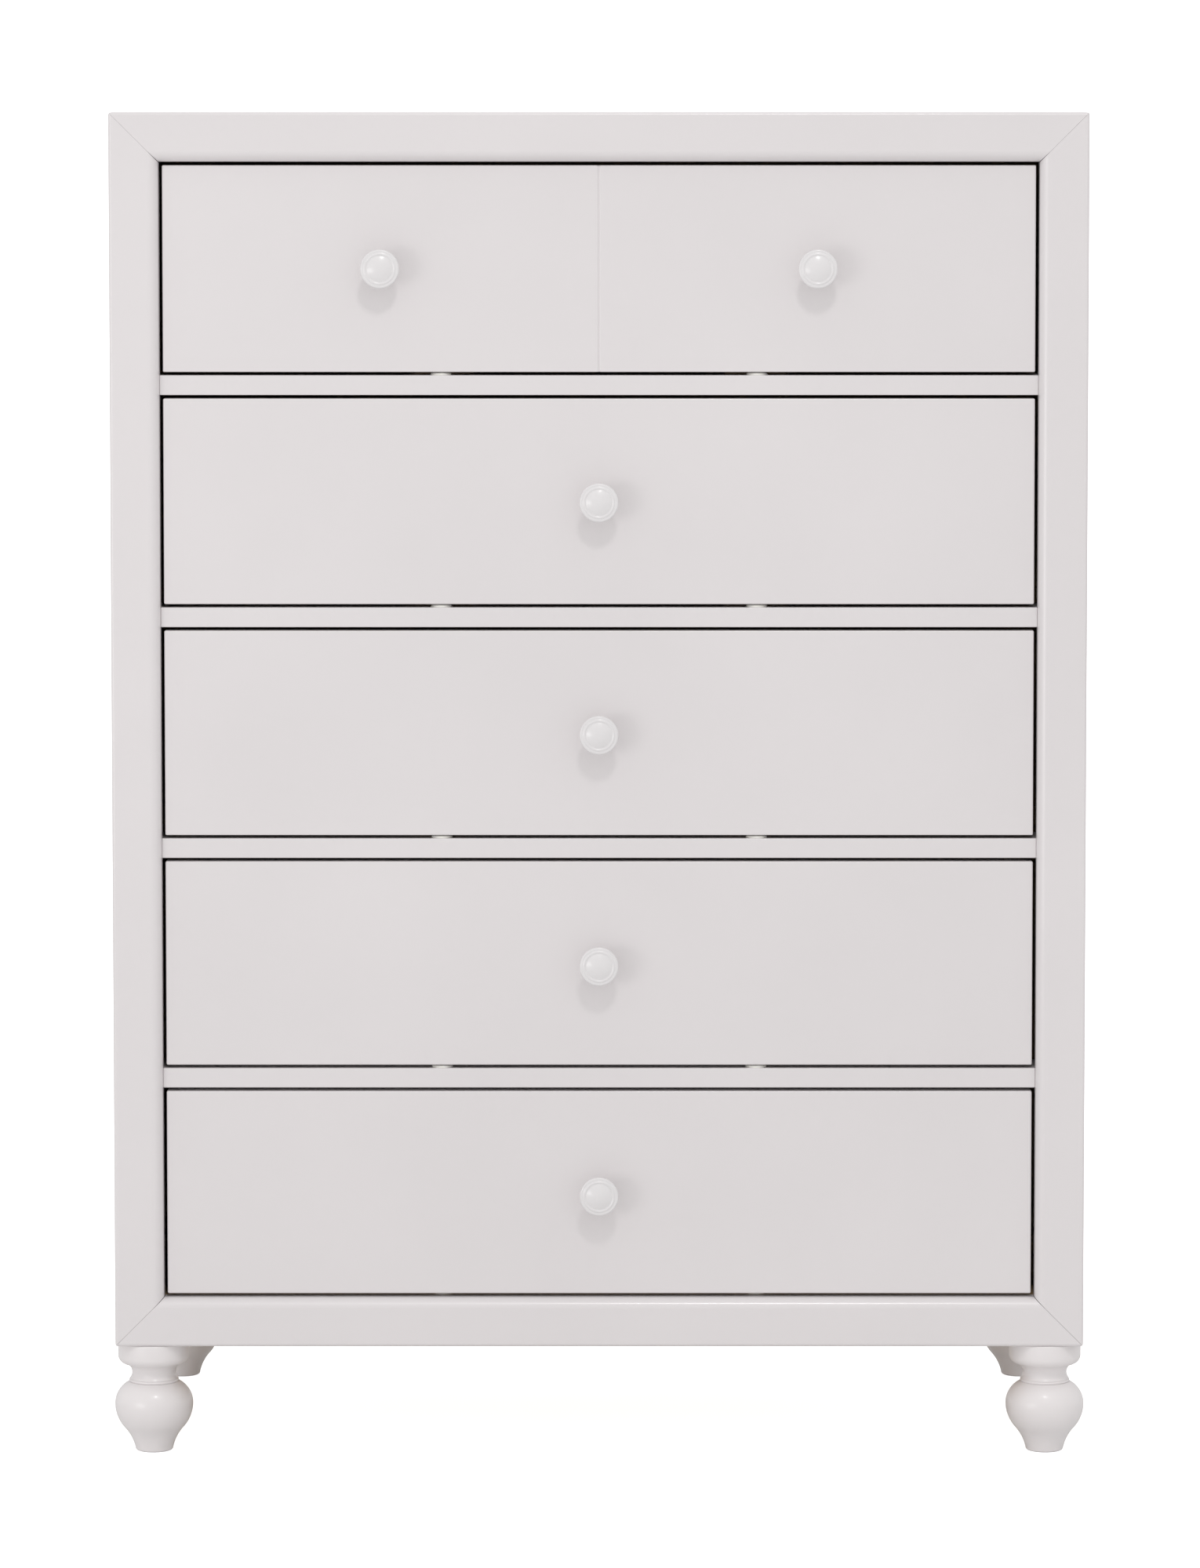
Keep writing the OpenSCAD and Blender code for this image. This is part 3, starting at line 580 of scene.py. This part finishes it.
# --------------------------------------------------------------------------------------------
# Drawers: a painted front board with eased edges, housed on a birch box. The sides have round
# top edges, the thin bottom slides in under the back board, and two bars run below it.

FRONT_ARRIS = 1.5 * MM
GROOVED_ARRIS = 1.2 * MM
FRONT_CORNER = 1.56 * MM
BACK_CORNER = 0.8 * MM
VEE_WIDTH = 3 * MM
VEE_DEPTH = 1 * MM


def front_with_groove(low, high, grooved):
    """A drawer front carried up Z from its plan. A grooved front dips at x = 0 by
    depth * (1 - |x| / half), with |x| and the dip both smoothed by a small square root."""
    corners = [(low[0], low[1]), (high[0], low[1]), (high[0], high[1]), (low[0], high[1])]
    points, normals = outline(corners, [FRONT_CORNER, FRONT_CORNER, BACK_CORNER, BACK_CORNER])
    if grooved:
        x = np.linspace(-2.2, 2.2, 45) * VEE_WIDTH / 2
        near = np.sqrt(x ** 2 + (0.12 * MM) ** 2)
        slope = 1 - near / (VEE_WIDTH / 2)
        dip = VEE_DEPTH * 0.5 * (slope + np.sqrt(slope ** 2 + 0.06 ** 2))
        dip = dip - dip[0]
        tangent = np.gradient(dip, x)
        line = np.stack([x, low[1] + dip], -1)
        face = np.stack([tangent, -np.ones_like(x)], -1)
        face /= np.linalg.norm(face, axis=1)[:, None]
        first_corner = 6  # points in the first corner's arc; the groove comes after it
        points = np.concatenate([points[:first_corner], line, points[first_corner:]])
        normals = np.concatenate([normals[:first_corner], face, normals[first_corner:]])
    return carried(points, normals, low[2], high[2], GROOVED_ARRIS if grooved else FRONT_ARRIS)


SIDE_CORNERS = np.array([0.6, 3.5, 3.5, 0.6]) * MM
BACK_CORNERS = np.array([0.6, 0.6, 2.0, 2.0]) * MM
front_lacquer = lacquer("drawer_front_lacquer")
for body in DRAWERS:
    low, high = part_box(f"{body}_front")
    points, faces, normals = front_with_groove(low, high, body == DRAWERS[0])
    piece(f"{body}_front_painted", points, faces, front_lacquer, body,
          [f"{body}_front"], normals)
    for side in ("left", "right"):
        low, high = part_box(f"{body}_{side}_side")
        points, faces, normals = board(low, high, 0.5 * MM, "y", SIDE_CORNERS)
        piece(f"{body}_{side}_side_board", points, faces, birch_y, body,
              [f"{body}_{side}_side"], normals)
    low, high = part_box(f"{body}_back")
    points, faces, normals = board(low, high, 0.5 * MM, "x", BACK_CORNERS)
    piece(f"{body}_back_board", points, faces, birch_x, body,
          [f"{body}_back"], normals)
    low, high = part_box(f"{body}_bottom")
    points, faces, normals = board(low, high, 0.3 * MM, "z", 1 * MM)
    piece(f"{body}_bottom_ply", points, faces, ply_flat, body, [f"{body}_bottom"], normals)
    refinish(f"{body}_runner_bars", birch_y)

# --------------------------------------------------------------------------------------------
# Knobs: turned and lacquered, each with a foot on the drawer, a hollow neck, a round rim, a
# smaller bead inside it and a shallow dome. A bolt from inside the drawer holds it.

KNOB = dict(foot_r=10 * MM, foot_round=0.8 * MM, neck_r=7 * MM, hollow_r=8 * MM,
            hollow_back=3.5 * MM, rim_bead=1.7 * MM, bead=1.3 * MM,
            dome_r=29 * MM, dome_base=12.5 * MM)


def knob_profile(length, radius):
    """Half of the knob's outline from the drawer front outwards, as arcs."""
    k = KNOB
    edge = np.degrees(np.arcsin(k["dome_base"] / k["dome_r"]))
    dome_z = length - k["dome_r"] * (1 - np.cos(np.radians(edge)))
    rim = [radius - k["rim_bead"], dome_z - k["rim_bead"]]
    bead = [k["dome_base"] + k["bead"], dome_z - k["bead"] / 2]
    hollow_z = rim[1] - k["rim_bead"] - k["hollow_r"] - k["hollow_back"]
    hollow = [k["neck_r"] + k["hollow_r"], hollow_z]
    start = 180 + np.degrees(np.arccos((hollow[0] - k["foot_r"]) / k["hollow_r"]))
    return np.concatenate([
        [[0, 0]],
        arc([k["foot_r"] - k["foot_round"], k["foot_round"]], k["foot_round"], -90, 0, 5),
        arc(hollow, k["hollow_r"], start, 110, 18),
        arc(rim, k["rim_bead"], -60, 114, 16),
        arc(bead, k["bead"], 42, 126, 10),
        arc([0, length - k["dome_r"]], k["dome_r"], 90 - edge + 0.6, 90, 24)])


knob_lacquer = lacquer("knob_lacquer", (0.76, 0.742, 0.745, 1.0), gloss=0.26, peel=0.03)
for body in DRAWERS:
    low, high = (np.array(c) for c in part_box(f"{body}_knobs"))
    radius = (high[2] - low[2]) / 2
    length = high[1] - low[1]
    middle_z = (low[2] + high[2]) / 2
    # The two ends of the box give one place where the drawer has one knob.
    places = sorted({round(low[0] + radius, 5), round(high[0] - radius, 5)})
    for number, x in enumerate(places, 1):
        points, faces = turned(knob_profile(length, radius), (x, high[1], middle_z), "-y", 96)
        piece(f"{body}_knob_{number}", points, faces, knob_lacquer, body,
              [f"{body}_knobs"], sharp=60)

# --------------------------------------------------------------------------------------------
# The studio: a plain pale floor that sweeps up behind the chest, a small lamp high in front, a
# wider one low at the left, and an even pale surround. The floor glows for the camera alone,
# which keeps it white without lighting the chest.

SWEEP_RADIUS = 2.0
FLOOR_HALF = 14.0
FLOOR_FRONT, FLOOR_BACK = -9.0, 6.0
WALL_TOP = 9.0


def sweep():
    """A floor that turns up into a wall: flat to the back, a quarter circle, then upright."""
    bend = np.radians(np.linspace(0, 90, 33))
    wall = FLOOR_BACK + SWEEP_RADIUS
    y = np.concatenate([[FLOOR_FRONT], FLOOR_BACK + SWEEP_RADIUS * np.sin(bend), [wall]])
    z = np.concatenate([[0.0], SWEEP_RADIUS * (1 - np.cos(bend)), [WALL_TOP]])
    x = np.array([-FLOOR_HALF, FLOOR_HALF])
    grid = np.stack([np.broadcast_to(x[:, None], (2, len(y))), np.broadcast_to(y, (2, len(y))),
                     np.broadcast_to(z, (2, len(z)))], -1).reshape(-1, 3)
    i = np.arange(len(y) - 1)
    faces = np.stack([i, i + len(y), i + len(y) + 1, i + 1], -1)
    mesh = bpy.data.meshes.new("studio_floor")
    mesh.from_pydata(grid.tolist(), [], faces.tolist())
    mesh.shade_smooth()
    floor = bpy.data.objects.new("studio_floor", mesh)
    bpy.context.scene.collection.objects.link(floor)
    return floor


def studio_white():
    """Plain pale matt paint, with a glow of 0.85 on the rays that come from the camera and
    none on any other, so it adds no light to the chest."""
    material = bpy.data.materials.new("studio_white")
    material.use_nodes = True
    tree = material.node_tree
    node, link = tree.nodes, tree.links
    paint = node["Principled BSDF"]
    paint.inputs["Roughness"].default_value = 0.9
    paint.inputs["Emission Color"].default_value = (1.0, 1.0, 1.0, 1.0)
    paint.inputs["Base Color"].default_value = (0.82, 0.82, 0.82, 1.0)
    seen = node.new("ShaderNodeLightPath")
    glow = node.new("ShaderNodeMapRange")
    glow.inputs["To Max"].default_value = 0.85
    link.new(seen.outputs["Is Camera Ray"], glow.inputs["Value"])
    link.new(glow.outputs["Result"], paint.inputs["Emission Strength"])
    return material


floor = sweep()
floor.data.materials.append(studio_white())

surround = bpy.data.worlds.new("studio_surround")
surround.use_nodes = True
sky = surround.node_tree.nodes["Background"]
sky.inputs["Color"].default_value = (1.0, 1.0, 1.0, 1.0)
sky.inputs["Strength"].default_value = 0.845
bpy.context.scene.world = surround

LAMP_COLOUR = (1.0, 0.985, 0.98)
LAMP_TARGET = np.array([0.0, frame_y, 0.70])


def lamp(name, azimuth, elevation, distance, size, power):
    """A round lamp aimed at the chest. Azimuth turns right from straight in front."""
    a, e = np.radians(azimuth), np.radians(elevation)
    direction = np.array([np.sin(a) * np.cos(e), -np.cos(a) * np.cos(e), np.sin(e)])
    light = bpy.data.lights.new(name, "AREA")
    light.shape = "DISK"
    light.size = size
    light.energy = power
    light.color = LAMP_COLOUR
    thing = bpy.data.objects.new(name, light)
    bpy.context.scene.collection.objects.link(thing)
    thing.location = LAMP_TARGET + direction * distance
    thing.rotation_euler = Vector(direction).to_track_quat("Z", "Y").to_euler()


lamp("high_lamp", azimuth=5, elevation=47, distance=5.2, size=0.70, power=38)
lamp("left_lamp", azimuth=-41, elevation=-4, distance=5.0, size=2.1, power=37)

# --------------------------------------------------------------------------------------------
# The camera stands in front of the frame, a little above the middle of the top drawer, and
# looks slightly down. The shift moves the chest to its place in the picture.

CAMERA_AWAY = 5.55
CAMERA_RIGHT = 0.020
CAMERA_HEIGHT = 1.19
CAMERA_TILT = 4.0
camera_data = bpy.data.cameras.new("camera")
camera_data.lens = 136.45
camera_data.sensor_width = 36.0
camera_data.shift_x = -0.0130
camera_data.shift_y = -0.1106
camera_data.clip_end = 60.0
camera = bpy.data.objects.new("camera", camera_data)
bpy.context.scene.collection.objects.link(camera)
camera.location = (CAMERA_RIGHT, frame_y - CAMERA_AWAY, CAMERA_HEIGHT)
camera.rotation_euler = (np.radians(90 - CAMERA_TILT), 0.0, 0.0)
bpy.context.scene.camera = camera
bpy.context.scene.view_settings.view_transform = "Standard"
